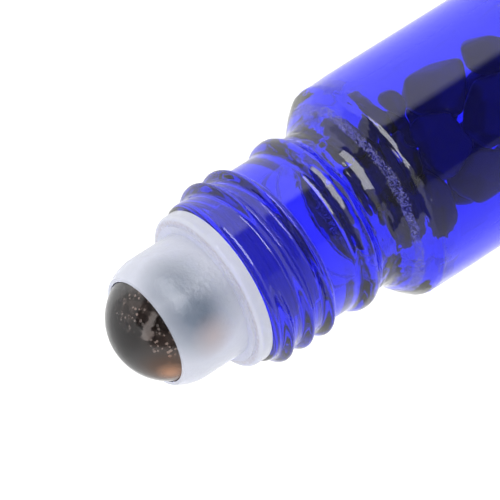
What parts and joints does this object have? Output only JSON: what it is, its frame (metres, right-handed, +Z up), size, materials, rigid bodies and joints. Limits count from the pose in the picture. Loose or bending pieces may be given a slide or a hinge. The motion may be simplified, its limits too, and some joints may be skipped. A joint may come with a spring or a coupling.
{
  "type": "roll on bottle",
  "caption": "Clear cobalt blue glass roll on bottle with a frosted plug-in roller housing, a turning stone ball and loose stone chips inside.",
  "frame": {"origin": "centre of the base, on the surface that the bottle stands on", "axes": "+Z up along the bottle's axis toward the ball; +Y toward the side where the stone chips lie; +X completes the right hand"},
  "size_m": [0.02, 0.02, 0.0824],
  "materials": {
    "cobalt_glass": "polished clear blue glass",
    "frosted_plastic": "frosted translucent",
    "ball_stone": "polished smoky stone",
    "chip_stone": "tumbled dark stone"
  },
  "bodies": {
    "bottle": {"glass_bottle": "cobalt_glass", "chip_01": "chip_stone", "chip_02": "chip_stone", "chip_03": "chip_stone", "chip_04": "chip_stone", "chip_05": "chip_stone", "chip_06": "chip_stone", "chip_07": "chip_stone", "chip_08": "chip_stone", "chip_09": "chip_stone", "chip_10": "chip_stone", "chip_11": "chip_stone", "chip_12": "chip_stone", "chip_13": "chip_stone", "chip_14": "chip_stone", "chip_15": "chip_stone", "chip_16": "chip_stone", "chip_17": "chip_stone", "chip_18": "chip_stone", "chip_19": "chip_stone", "chip_20": "chip_stone", "chip_21": "chip_stone", "chip_22": "chip_stone", "chip_23": "chip_stone", "chip_24": "chip_stone", "chip_25": "chip_stone", "chip_26": "chip_stone", "chip_27": "chip_stone", "chip_28": "chip_stone", "chip_29": "chip_stone", "chip_30": "chip_stone", "chip_31": "chip_stone", "chip_32": "chip_stone", "chip_33": "chip_stone", "chip_34": "chip_stone", "chip_35": "chip_stone", "chip_36": "chip_stone", "chip_37": "chip_stone", "chip_38": "chip_stone", "chip_39": "chip_stone", "chip_40": "chip_stone", "chip_41": "chip_stone", "chip_42": "chip_stone", "chip_43": "chip_stone", "chip_44": "chip_stone", "chip_45": "chip_stone", "chip_46": "chip_stone", "chip_47": "chip_stone", "chip_48": "chip_stone", "chip_49": "chip_stone", "chip_50": "chip_stone", "chip_51": "chip_stone", "chip_52": "chip_stone", "chip_53": "chip_stone"},
    "fitment": {"roller_housing": "frosted_plastic"},
    "ball": {"roller_ball": "ball_stone"}
  },
  "joints": [
    {"name": "fitment_pull", "type": "slide", "parent": "bottle", "child": "fitment", "axis": [0, 0, 1], "range_m": [0, 0.008]},
    {"name": "ball_roll", "type": "hinge", "parent": "fitment", "child": "ball", "pos_m": [0, 0, 0.0772], "axis": [1, 0, 0], "continuous": true}
  ]
}
